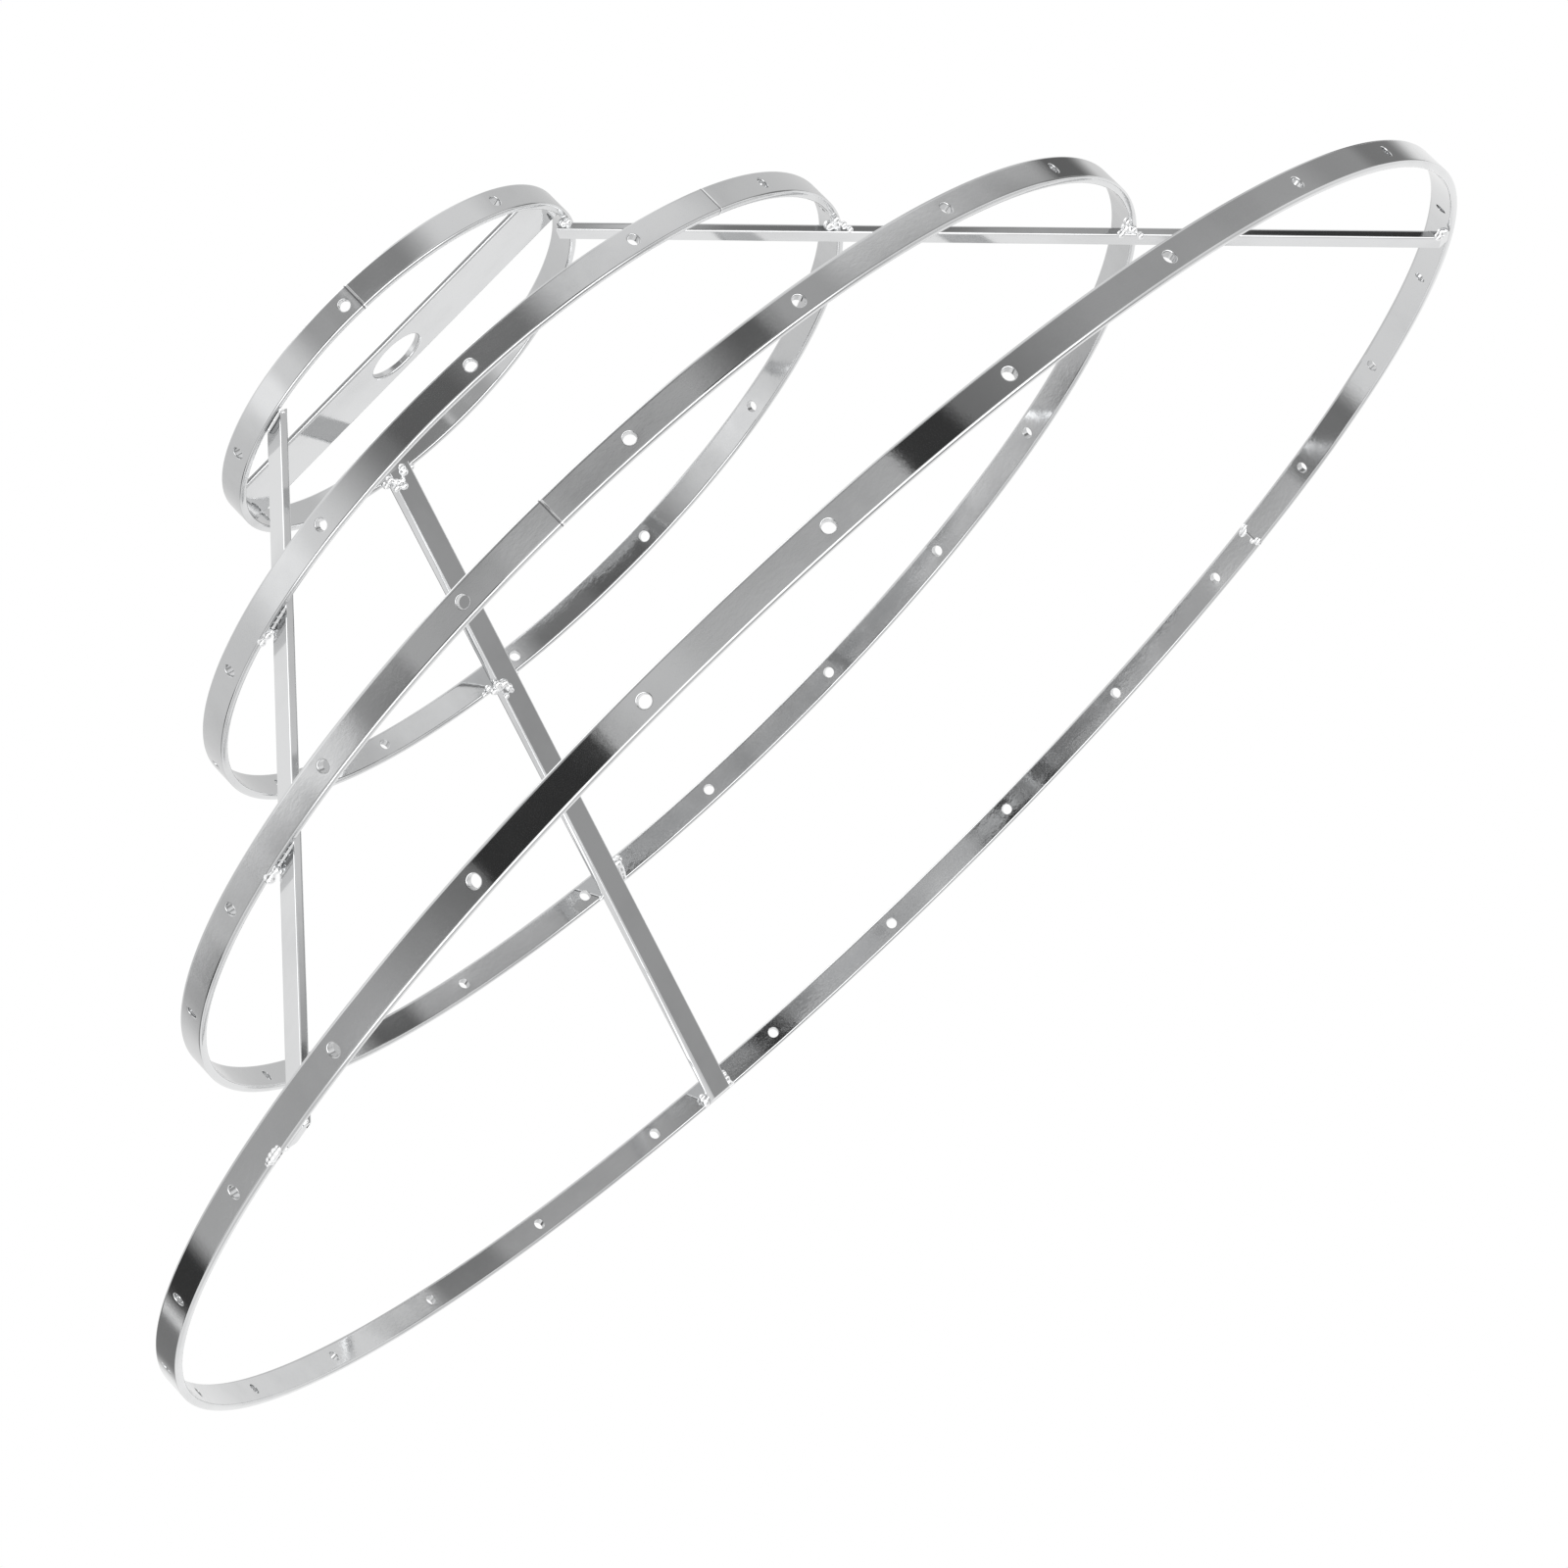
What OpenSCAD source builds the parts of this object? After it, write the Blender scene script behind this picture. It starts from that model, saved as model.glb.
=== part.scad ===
// Stepped ring frame for a hanging crystal lamp. Four hoops of flat strip, three raked struts
// inside them and a crossbar in the smallest hoop are tacked together and chrome plated.
// Millimetres, +Z up. The frame hangs by the hole in its crossbar, smallest hoop uppermost.
// The origin is the centre of the largest hoop, in the plane of its lower edge.

/* [Tiers] */
// Outer diameter of the largest hoop, at the bottom
bottom_d = 280; // [220:1:340]
// Outer diameter of the smallest hoop, at the top
top_d = 75; // [60:0.5:110]
// Step from the smallest hoop down to the second one
upper_step = 32.7; // [20:0.1:50]
// Step from the second hoop down to the third one
middle_step = 35.4; // [20:0.1:50]
// Step from the third hoop down to the largest one
lower_step = 37.4; // [20:0.1:50]

/* [Hoop strip] */
// Width of the strip that the hoops are rolled from
hoop_w = 5; // [4:0.1:8]
// Thickness of that strip
hoop_t = 1.4; // [1:0.1:2.4]
// Rounding of the long edges of all strip
edge_r = 0.2; // [0.1:0.05:0.4]
// Width of the welded butt joint that closes each hoop
seam_w = 0.3; // [0.2:0.05:0.6]
// Direction of each hoop's butt joint, smallest hoop first
seam_at = [276.3, 322, 273.5, 51.7]; // [0:0.1:360]

/* [Pendant holes] */
// Diameter of the holes that the crystals hang from
pendant_hole_d = 2; // [1.2:0.1:3]
// Number of holes round each hoop, smallest hoop first
hole_counts = [7, 13, 20, 27]; // [3:1:60]
// Direction of the first hole in each hoop, smallest hoop first
first_hole_at = [15.7, 2.2, 11.8, 3.4]; // [0:0.1:360]

/* [Struts] */
// Width of the flat strip that the struts are cut from
strut_w = 5; // [3:0.1:8]
// Thickness of that strip
strut_t = 1.4; // [1:0.1:2.4]
// Direction of each strut from the frame's middle
strut_at = [7, 117.1, 236.4]; // [0:0.1:360]

/* [Crossbar] */
// Width of the crossbar
bar_w = 15; // [12:0.5:20]
// Thickness of the crossbar
bar_t = 1.2; // [0.8:0.1:2]
// Diameter of the hole for the lamp's threaded nipple
nipple_hole_d = 10.2; // [8:0.1:11]

/* [Welds] */
// Diameter of the weld beads round each strut
bead_d = 2.6; // [2:0.1:3.6]
// How far the outer beads stand off the strut's edges
bead_offset = 0.3; // [0:0.05:0.6]
// Height of the beads' middle above the lower edge of the largest hoop
bottom_bead_z = 1; // [0.8:0.05:1.3]
// Clearance between pieces that seat on each other
seat_gap = 0.03; // [0.01:0.01:0.1]

/* [Hidden] */
$fn = 256;
// Sides of a rounded edge
edge_sides = 24;
// How far a cutting shape runs past what it cuts
overcut = 1;
hoop_names = ["top_hoop", "second_hoop", "third_hoop", "bottom_hoop"];
strut_names = ["right", "rear", "front"];
hoops = [0 : len(hoop_names) - 1];
struts = [0 : len(strut_names) - 1];
top_hoop = 0;
bottom_hoop = len(hoop_names) - 1;

// Height of each hoop's lower edge
hoop_z = [
    lower_step + middle_step + upper_step,
    lower_step + middle_step,
    lower_step,
    0
];
frame_h = hoop_z[top_hoop] + hoop_w;
bar_z = frame_h - bar_t;

// The two middle hoops are sized so that a straight strut touches all four
taper = (bottom_d - top_d) / 2 / hoop_z[top_hoop];
function outer_r(h) = bottom_d / 2 - hoop_z[h] * taper;
function inner_r(h) = outer_r(h) - hoop_t;

// A strut's flat outer face touches a hoop's curved wall along the strut's two long edges
function seat_r(h) = sqrt(pow(inner_r(h), 2) - pow(strut_w / 2, 2)) - seat_gap;
strut_lean = atan2(seat_r(bottom_hoop) - seat_r(top_hoop), hoop_z[top_hoop]);
strut_len = norm([seat_r(bottom_hoop) - seat_r(top_hoop), hoop_z[top_hoop]]);

// The crossbar's square ends meet the smallest hoop's wall at their corners
bar_reach = sqrt(pow(inner_r(top_hoop), 2) - pow(bar_w / 2, 2)) - seat_gap;

function strut_node(s) = str(strut_names[s], "_strut");
function weld_node(h, s) = str(hoop_names[h], "_", strut_names[s], "_weld");
function seam_node(h) = str(hoop_names[h], "_seam");

// Cross-section of rolled strip: flat faces and rounded long edges
module strip_section(t, w) {
    square([t - 2 * edge_r, w], center = true);
    square([t, w - 2 * edge_r], center = true);
    for (x = [-1, 1], y = [-1, 1])
        translate([x * (t / 2 - edge_r), y * (w / 2 - edge_r)])
            circle(r = edge_r, $fn = edge_sides);
}

// A hoop's strip rolled to a full ring, before it is cut and punched
module rolled_ring(h) {
    translate([0, 0, hoop_z[h] + hoop_w / 2])
        rotate_extrude()
            translate([outer_r(h) - hoop_t / 2, 0])
                strip_section(hoop_t, hoop_w);
}

// Space between the two ends of a hoop's strip
module seam_slot(h) {
    rotate(seam_at[h])
        translate([inner_r(h) - overcut, -seam_w / 2, hoop_z[h] - overcut])
            cube([hoop_t + 2 * overcut, seam_w, hoop_w + 2 * overcut]);
}

module pendant_holes(h) {
    for (i = [0 : hole_counts[h] - 1])
        rotate(first_hole_at[h] + i * 360 / hole_counts[h])
            translate([inner_r(h) - overcut, 0, hoop_z[h] + hoop_w / 2])
                rotate([0, 90, 0])
                    cylinder(d = pendant_hole_d, h = hoop_t + 2 * overcut);
}

module hoop(h) {
    color("silver")
        difference() {
            rolled_ring(h);
            seam_slot(h);
            pendant_holes(h);
        }
}

module seam(h) {
    color("lightgray")
        intersection() {
            rolled_ring(h);
            seam_slot(h);
        }
}

// Everything between the largest hoop's lower edge and a given height
module slab_up_to(z) {
    translate([-bottom_d / 2, -bottom_d / 2, 0])
        cube([bottom_d, bottom_d, z]);
}

// Puts its children upright on a strut that runs along X: the origin comes to the middle of
// the strut's outer face, at the given height
module on_strut(z) {
    translate([seat_r(bottom_hoop) - z * tan(strut_lean), 0, z])
        children();
}

// A strut is cut level at the foot, flush with the largest hoop, and under the crossbar
module strut(s) {
    spare = (hoop_w + strut_t) / cos(strut_lean);
    color("silver")
        rotate(strut_at[s])
            intersection() {
                on_strut(0)
                    rotate([0, -strut_lean, 0])
                        translate([-strut_t / 2, 0, -spare])
                            linear_extrude(height = strut_len + 2 * spare)
                                strip_section(strut_t, strut_w);
                slab_up_to(bar_z - seat_gap);
            }
}

// Room that the beads leave to the hoop that they hold. The line where its round surfaces
// start is turned away from the beads.
module hoop_room(h) {
    translate([0, 0, hoop_z[h]])
        rotate(180)
            difference() {
                cylinder(r = outer_r(h) + bead_d, h = hoop_w);
                translate([0, 0, -overcut])
                    cylinder(r = inner_r(h), h = hoop_w + 2 * overcut);
            }
}

// Room that the beads leave to the strut that they hold
module strut_room(z) {
    on_strut(z)
        rotate([0, -strut_lean, 0])
            translate([-strut_t, -strut_w / 2, -hoop_w])
                cube([strut_t, strut_w, 2 * hoop_w]);
}

// Beads at the hoop's lower edge: one across the strut's outer face and one past each side.
// At the largest hoop they sit a little higher and are ground level with its edge.
module strut_weld(h, s) {
    bead_z = max(hoop_z[h], bottom_bead_z);
    color("lightgray")
        rotate(strut_at[s])
            difference() {
                on_strut(bead_z)
                    for (side = [-1, 0, 1])
                        translate([0, side * (strut_w / 2 + bead_offset), 0])
                            sphere(d = bead_d);
                hoop_room(h);
                strut_room(bead_z);
                translate([0, -bottom_d / 2, -bead_d])
                    cube([bottom_d, bottom_d, bead_d]);
            }
}

module crossbar() {
    color("gainsboro")
        difference() {
            translate([-bar_reach, -bar_w / 2, bar_z])
                cube([2 * bar_reach, bar_w, bar_t]);
            translate([0, 0, bar_z - overcut])
                cylinder(d = nipple_hole_d, h = bar_t + 2 * overcut);
        }
}

// Weld that fills the space between the crossbar's end and the hoop's curved wall
module crossbar_weld() {
    color("lightgray")
        intersection() {
            translate([0, 0, bar_z])
                cylinder(r = inner_r(top_hoop), h = bar_t);
            translate([bar_reach, -bar_w / 2, bar_z])
                cube([hoop_t + outer_r(top_hoop) - bar_reach, bar_w, bar_t]);
        }
}

for (h = hoops) {
    hoop(h);
    seam(h);
    for (s = struts)
        strut_weld(h, s);
}
for (s = struts)
    strut(s);
crossbar();
crossbar_weld();  // crossbar_right_weld
mirror([1, 0, 0]) crossbar_weld();  // crossbar_left_weld
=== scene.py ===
import math
import bmesh
import bpy
from mathutils import Matrix, Vector, noise


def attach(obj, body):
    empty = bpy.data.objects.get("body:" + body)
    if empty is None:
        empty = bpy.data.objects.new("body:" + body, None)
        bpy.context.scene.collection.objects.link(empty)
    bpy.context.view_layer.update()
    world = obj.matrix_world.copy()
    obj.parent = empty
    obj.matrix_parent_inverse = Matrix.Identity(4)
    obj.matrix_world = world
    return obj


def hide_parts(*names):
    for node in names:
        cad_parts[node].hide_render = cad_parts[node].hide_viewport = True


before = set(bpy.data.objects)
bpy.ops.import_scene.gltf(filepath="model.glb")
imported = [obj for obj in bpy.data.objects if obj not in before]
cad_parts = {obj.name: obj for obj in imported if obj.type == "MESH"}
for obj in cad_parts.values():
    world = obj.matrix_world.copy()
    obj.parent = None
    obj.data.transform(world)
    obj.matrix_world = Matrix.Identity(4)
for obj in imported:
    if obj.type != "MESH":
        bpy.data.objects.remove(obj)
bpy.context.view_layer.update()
mm = 0.001
sharpAngle = math.radians(38)   # an edge that turns more than this stays crisp

# The frame's own measures in millimetres, smallest hoop first
tiers = {
    "names": ["top_hoop", "second_hoop", "third_hoop", "bottom_hoop"],
    "outerRadius": [37.5, 69.27, 103.664, 140.0],
    "lowerEdge": [105.5, 72.8, 37.4, 0.0],
    "stripWidth": 5.0,
    "stripThickness": 1.4,
    "topSeat": 35.983,        # how far the struts' outer faces are from the middle, at the
    "bottomSeat": 138.547,    # lower edges of the smallest and the largest hoop
}
strutAngles = {"right": 7.0, "rear": 117.1, "front": 236.4}
strutLean = math.atan2(tiers["bottomSeat"] - tiers["topSeat"], tiers["lowerEdge"][0])
# The four corners of a strip's section, through it and across it, and where each one's arc starts
sectionCorners = ((1, 1, 0), (-1, 1, 90), (-1, -1, 180), (1, -1, 270))


def addNode(tree, kind, settings=None, inputs=None):
    node = tree.nodes.new(kind)
    for name, value in (settings or {}).items():
        setattr(node, name, value)
    for name, value in (inputs or {}).items():
        node.inputs[name].default_value = value
    return node


def newGroup(name, kind, inputs, outputs):
    group = bpy.data.node_groups.new(name, kind)
    for label, socket, value in inputs:
        item = group.interface.new_socket(label, in_out="INPUT", socket_type=socket)
        if value is not None:
            item.default_value = value
    for label, socket in outputs:
        group.interface.new_socket(label, in_out="OUTPUT", socket_type=socket)
    return group, group.nodes.new("NodeGroupInput"), group.nodes.new("NodeGroupOutput")


def distanceFromAxis(tree, place):
    flat = addNode(tree, "ShaderNodeVectorMath", {"operation": "MULTIPLY"}, {1: (1, 1, 0)})
    reach = addNode(tree, "ShaderNodeVectorMath", {"operation": "LENGTH"})
    tree.links.new(place, flat.inputs[0])
    tree.links.new(flat.outputs[0], reach.inputs[0])
    return reach.outputs["Value"]


def meshFrom(name, verts, faces, weld=0.002):
    mesh = bpy.data.meshes.new(name)
    mesh.from_pydata([Vector(v) * mm for v in verts], [], faces)
    work = bmesh.new()
    work.from_mesh(mesh)
    bmesh.ops.remove_doubles(work, verts=work.verts, dist=weld * mm)
    bmesh.ops.recalc_face_normals(work, faces=work.faces)
    work.to_mesh(mesh)
    work.free()
    return mesh


def crispEdges(mesh):
    mesh.shade_smooth()
    mesh.set_sharp_from_angle(angle=sharpAngle)


def bakedPiece(source, name):
    # The evaluated shape as a plain mesh in a new object
    depsgraph = bpy.context.evaluated_depsgraph_get()
    mesh = bpy.data.meshes.new_from_object(source.evaluated_get(depsgraph))
    piece = bpy.data.objects.new(name, mesh)
    bpy.context.scene.collection.objects.link(piece)
    bpy.data.objects.remove(source)
    return piece


def newObject(name, mesh, material=None):
    piece = bpy.data.objects.new(name, mesh)
    bpy.context.scene.collection.objects.link(piece)
    if material:
        mesh.materials.append(material)
    return piece


def standsFor(piece, node):
    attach(piece, "root")
    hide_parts(node)


# Plating: fine orange peel, slow waves left by rolling, haze and a little dust
def plateGrainGroup():
    group, given, result = newGroup(
        "plateGrain",
        "ShaderNodeTree",
        [
            ("Peel scale", "NodeSocketFloat", 900.0),
            ("Peel depth", "NodeSocketFloat", 0.000004),
            ("Along the roll", "NodeSocketFloat", 0.0),
            ("Wave scale", "NodeSocketFloat", 60.0),
            ("Wave depth", "NodeSocketFloat", 0.00005),
            ("Haze scale", "NodeSocketFloat", 35.0),
            ("Roughness low", "NodeSocketFloat", 0.04),
            ("Roughness high", "NodeSocketFloat", 0.14),
            ("Colour", "NodeSocketColor", (0.6, 0.6, 0.6, 1)),
            ("Dull colour", "NodeSocketColor", (0.5, 0.5, 0.5, 1)),
        ],
        [
            ("Colour", "NodeSocketColor"),
            ("Roughness", "NodeSocketFloat"),
            ("Normal", "NodeSocketVector"),
        ],
    )
    link = group.links.new
    place = addNode(group, "ShaderNodeTexCoord").outputs["Object"]
    peel = addNode(group, "ShaderNodeTexNoise", {}, {"Detail": 2.0, "Roughness": 0.6})
    wave = addNode(group, "ShaderNodeTexNoise", {}, {"Detail": 1.0})
    haze = addNode(group, "ShaderNodeTexNoise", {}, {"Detail": 5.0, "Roughness": 0.62})
    specks = addNode(group, "ShaderNodeTexNoise", {}, {"Scale": 2600.0, "Detail": 1.0})
    for texture, scale in ((peel, "Peel scale"), (wave, "Wave scale"), (haze, "Haze scale")):
        link(given.outputs[scale], texture.inputs["Scale"])
    for texture in (wave, haze, specks):
        link(place, texture.inputs["Vector"])
    # the same place unrolled: distance round the hoop, out from its middle and up
    split = addNode(group, "ShaderNodeSeparateXYZ")
    link(place, split.inputs[0])
    reach = distanceFromAxis(group, place)
    turn = addNode(group, "ShaderNodeMath", {"operation": "ARCTAN2"})
    link(split.outputs["Y"], turn.inputs[0])
    link(split.outputs["X"], turn.inputs[1])
    arc = addNode(group, "ShaderNodeMath", {"operation": "MULTIPLY"})
    link(turn.outputs[0], arc.inputs[0])
    link(reach, arc.inputs[1])
    # rolling draws the marks out
    drawn = addNode(group, "ShaderNodeMath", {"operation": "MULTIPLY"}, {1: 0.6})
    link(arc.outputs[0], drawn.inputs[0])
    unrolled = addNode(group, "ShaderNodeCombineXYZ")
    link(drawn.outputs[0], unrolled.inputs["X"])
    link(reach, unrolled.inputs["Y"])
    link(split.outputs["Z"], unrolled.inputs["Z"])
    which = addNode(group, "ShaderNodeMix", {"data_type": "VECTOR"})
    link(given.outputs["Along the roll"], which.inputs[0])
    link(place, which.inputs[4])
    link(unrolled.outputs[0], which.inputs[5])
    link(which.outputs[1], peel.inputs["Vector"])
    # waves first, and the peel on top of them
    normal = None
    for texture, depth in ((wave, "Wave depth"), (peel, "Peel depth")):
        bump = addNode(group, "ShaderNodeBump")
        link(given.outputs[depth], bump.inputs["Distance"])
        link(texture.outputs[0], bump.inputs["Height"])
        if normal:
            link(normal, bump.inputs["Normal"])
        normal = bump.outputs["Normal"]
    dull = addNode(group, "ShaderNodeMapRange", {"interpolation_type": "SMOOTHSTEP"}, {
        "From Min": 0.42, "From Max": 0.72,
    })
    link(haze.outputs[0], dull.inputs["Value"])
    dust = addNode(group, "ShaderNodeMapRange", {}, {
        "From Min": 0.62, "From Max": 0.8, "To Max": 0.35,
    })
    link(specks.outputs[0], dust.inputs["Value"])
    mask = addNode(group, "ShaderNodeMath", {"operation": "MAXIMUM"})
    link(dull.outputs["Result"], mask.inputs[0])
    link(dust.outputs["Result"], mask.inputs[1])
    rough = addNode(group, "ShaderNodeMapRange")
    link(mask.outputs[0], rough.inputs["Value"])
    link(given.outputs["Roughness low"], rough.inputs["To Min"])
    link(given.outputs["Roughness high"], rough.inputs["To Max"])
    tint = addNode(group, "ShaderNodeMix", {"data_type": "RGBA"})
    link(mask.outputs[0], tint.inputs[0])
    link(given.outputs["Colour"], tint.inputs[6])
    link(given.outputs["Dull colour"], tint.inputs[7])
    link(tint.outputs[2], result.inputs["Colour"])
    link(rough.outputs["Result"], result.inputs["Roughness"])
    link(normal, result.inputs["Normal"])
    return group


plateGrain = plateGrainGroup()


def platedMaterial(name, settings):
    material = bpy.data.materials.new(name)
    material.use_nodes = True
    tree = material.node_tree
    shader = tree.nodes["Principled BSDF"]
    shader.inputs["Metallic"].default_value = 1.0
    grain = addNode(tree, "ShaderNodeGroup", {"node_tree": plateGrain}, settings)
    tree.links.new(grain.outputs["Roughness"], shader.inputs["Roughness"])
    tree.links.new(grain.outputs["Normal"], shader.inputs["Normal"])
    tree.links.new(grain.outputs["Colour"], shader.inputs["Base Color"])
    return material


chromeStrip = platedMaterial("bright chrome on rolled strip", {
    "Peel scale": 1500.0, "Peel depth": 0.0000035, "Along the roll": 1.0,
    "Wave scale": 70.0, "Wave depth": 0.00006,
    "Colour": (0.64, 0.645, 0.65, 1), "Dull colour": (0.56, 0.565, 0.57, 1),
    "Roughness low": 0.05, "Roughness high": 0.13,
})
chromeTightStrip = platedMaterial("bright chrome on tightly rolled strip", {
    "Peel scale": 1500.0, "Peel depth": 0.000004, "Along the roll": 1.0,
    "Wave scale": 85.0, "Wave depth": 0.0002,
    "Colour": (0.64, 0.645, 0.65, 1), "Dull colour": (0.56, 0.565, 0.57, 1),
    "Roughness low": 0.05, "Roughness high": 0.13,
})
chromeBar = platedMaterial("bright chrome on flat bar", {
    "Peel scale": 900.0, "Peel depth": 0.0000006,
    "Wave scale": 50.0, "Wave depth": 0.00005,
    "Colour": (0.65, 0.655, 0.66, 1), "Dull colour": (0.57, 0.575, 0.58, 1),
    "Roughness low": 0.05, "Roughness high": 0.09,
})
# Weld metal has the same plating as the strip, but its colour is raised far above the strip's as a
# painted highlight that makes the lumps shine white
weldChromePaintedBright = platedMaterial("weld chrome lightened as painted highlight", {
    "Peel scale": 1200.0, "Peel depth": 0.000001,
    "Wave scale": 300.0, "Wave depth": 0.00002,
    "Colour": (0.96, 0.965, 0.97, 1), "Dull colour": (0.84, 0.845, 0.85, 1),
    "Roughness low": 0.12, "Roughness high": 0.24,
})
dullSeam = platedMaterial("thin plating over a scorched joint", {
    "Peel scale": 1200.0, "Peel depth": 0.000004,
    "Wave scale": 300.0, "Wave depth": 0.00002,
    "Colour": (0.30, 0.30, 0.305, 1), "Dull colour": (0.16, 0.16, 0.165, 1),
    "Roughness low": 0.3, "Roughness high": 0.5,
})
print("stage: finishes made")


# Hoops: punched strip, rolled up
punched = {
    "holes": [7, 13, 20, 27],
    "firstHole": [15.7, 2.2, 11.8, 3.4],
    "holeRadius": 1.0,
    "width": tiers["stripWidth"],
    "thickness": tiers["stripThickness"],
    "edgeRadius": 0.42,
    "rollOver": 0.16,      # rounded rim where the punch went in
    "burrRound": 0.07,     # smaller rounding where it came out
    "dimple": 0.012,       # how far the strip is drawn in round a hole
    "patch": 1.8,          # half width of the square of faces round a hole
    "patchFaces": 8,       # faces along one side of that square
    "step": 1.3,           # length of the faces between the holes
}
# How the faces of any punched blank are laid out
division = {
    "support": 0.12,       # width of the faces that keep a rounding tight
    "rimSupport": 0.06,    # the same round a hole
    "rings": 4,            # of faces, from the square in to the rim, and again round the rim
    "crowding": 0.8,       # below 1 the rings crowd towards the rim
    "edgeSteps": 6,        # round a quarter of a long edge
    "dimpleReach": 1.7,    # in hole radii
}


def punchedBlank(pitch, spec):
    # One pitch of strip, laid flat: x along it, y through it, z across it, the hole in the middle
    verts, faces = [], []
    thick, flat = spec["thickness"] / 2, spec["width"] / 2 - spec["edgeRadius"]
    hole, patch = spec["holeRadius"], spec["patch"]
    support, rings = division["support"], division["rings"]

    def grid(rows):
        start = len(verts)
        wide = len(rows[0])
        for row in rows:
            verts.extend(row)
        for i in range(len(rows) - 1):
            for j in range(wide - 1):
                k = start + i * wide + j
                faces.append((k, k + 1, k + wide + 1, k + wide))

    def drawnIn(x, z):
        return -spec["dimple"] * math.exp(-(x * x + z * z) / (division["dimpleReach"] * hole) ** 2)

    n = spec["patchFaces"]
    ticks = [-patch + 2 * patch * i / n for i in range(n + 1)]
    plain = max(2, round((pitch / 2 - patch) / spec["step"]))
    left = [-pitch / 2 + (pitch / 2 - patch) * i / plain for i in range(plain + 1)]
    right = [-x for x in reversed(left)]
    across = [-flat, -flat + support] + ticks + [flat - support, flat]
    square = [(patch, z) for z in ticks[:-1]] + [(-x, patch) for x in ticks[:-1]]
    square += [(-patch, -z) for z in ticks[:-1]] + [(x, -patch) for x in ticks[:-1]]
    for side in (1, -1):
        face = side * thick
        for columns, levels in (
            (left, across),
            (right, across),
            (ticks, [-flat, -flat + support, -patch]),
            (ticks, [patch, flat - support, flat]),
        ):
            grid([[(x, face + drawnIn(x, z), z) for z in levels] for x in columns])
        # rings round the hole: from the square in to the rim, round it and down the wall
        rim = spec["rollOver"] if side > 0 else spec["burrRound"]
        border = hole + rim + division["rimSupport"]
        loops = []
        for k in range(rings + 1):
            near = (k / rings) ** division["crowding"]
            loop = []
            for x, z in square:
                angle = math.atan2(z, x)
                px = x + (border * math.cos(angle) - x) * near
                pz = z + (border * math.sin(angle) - z) * near
                loop.append((px, face + drawnIn(px, pz), pz))
            loops.append(loop)
        for k in range(rings + 1):
            turn = k / rings * math.pi / 2
            reach = hole + rim * (1 - math.sin(turn))
            depth = rim * (1 - math.cos(turn))
            loop = []
            for x, z in square:
                angle = math.atan2(z, x)
                px, pz = reach * math.cos(angle), reach * math.sin(angle)
                loop.append((px, face + drawnIn(px, pz) - side * depth, pz))
            loops.append(loop)
        for level in (face - side * (rim + support), 0.0):
            loops.append([(x, level, z) for x, y, z in loops[-1]])
        grid([loop + loop[:1] for loop in loops])
    # rounded long edges
    along = left + ticks[1:-1] + right
    steps, radius = division["edgeSteps"], spec["edgeRadius"]
    for end in (-1, 1):
        curve = []
        for k in range(steps + 1):
            turn = k / steps * math.pi / 2
            y = thick - radius * (1 - math.cos(turn))
            curve.append((y, end * (flat + radius * math.sin(turn))))
        curve += [(-y, z) for y, z in reversed(curve)]
        grid([[(x, y + drawnIn(x, z) * (y / thick), z) for y, z in curve] for x in along])
    return meshFrom("punchedBlank", verts, faces)


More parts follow.
